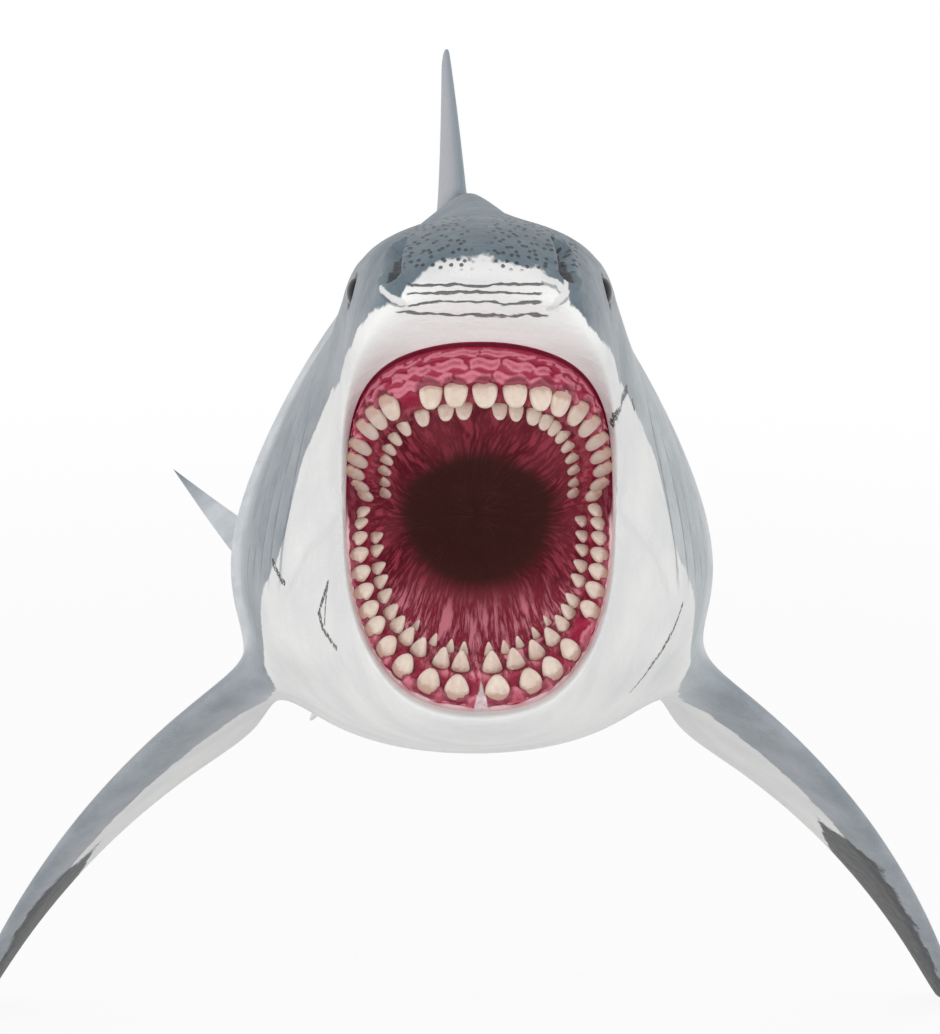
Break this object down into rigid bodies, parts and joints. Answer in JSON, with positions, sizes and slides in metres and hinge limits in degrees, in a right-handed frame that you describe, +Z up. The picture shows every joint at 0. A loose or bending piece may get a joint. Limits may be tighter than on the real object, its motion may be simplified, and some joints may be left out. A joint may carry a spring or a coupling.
{
  "type": "shark figurine",
  "caption": "Moulded shark with gaping jaws and rows of teeth, standing on its pectoral fin tips and its tail.",
  "frame": {"origin": "middle of the bounding box, on the table's face under the three tips that the figure stands on", "axes": "-Y is where the shark looks, +Y runs to its tail, +X is its left side seen from behind the head, +Z is up"},
  "size_m": [0.1576, 0.305, 0.1452],
  "materials": {
    "painted_vinyl": "satin paint over soft moulded vinyl"
  },
  "bodies": {
    "root": {"shark_figurine": "painted_vinyl"}
  },
  "joints": []
}
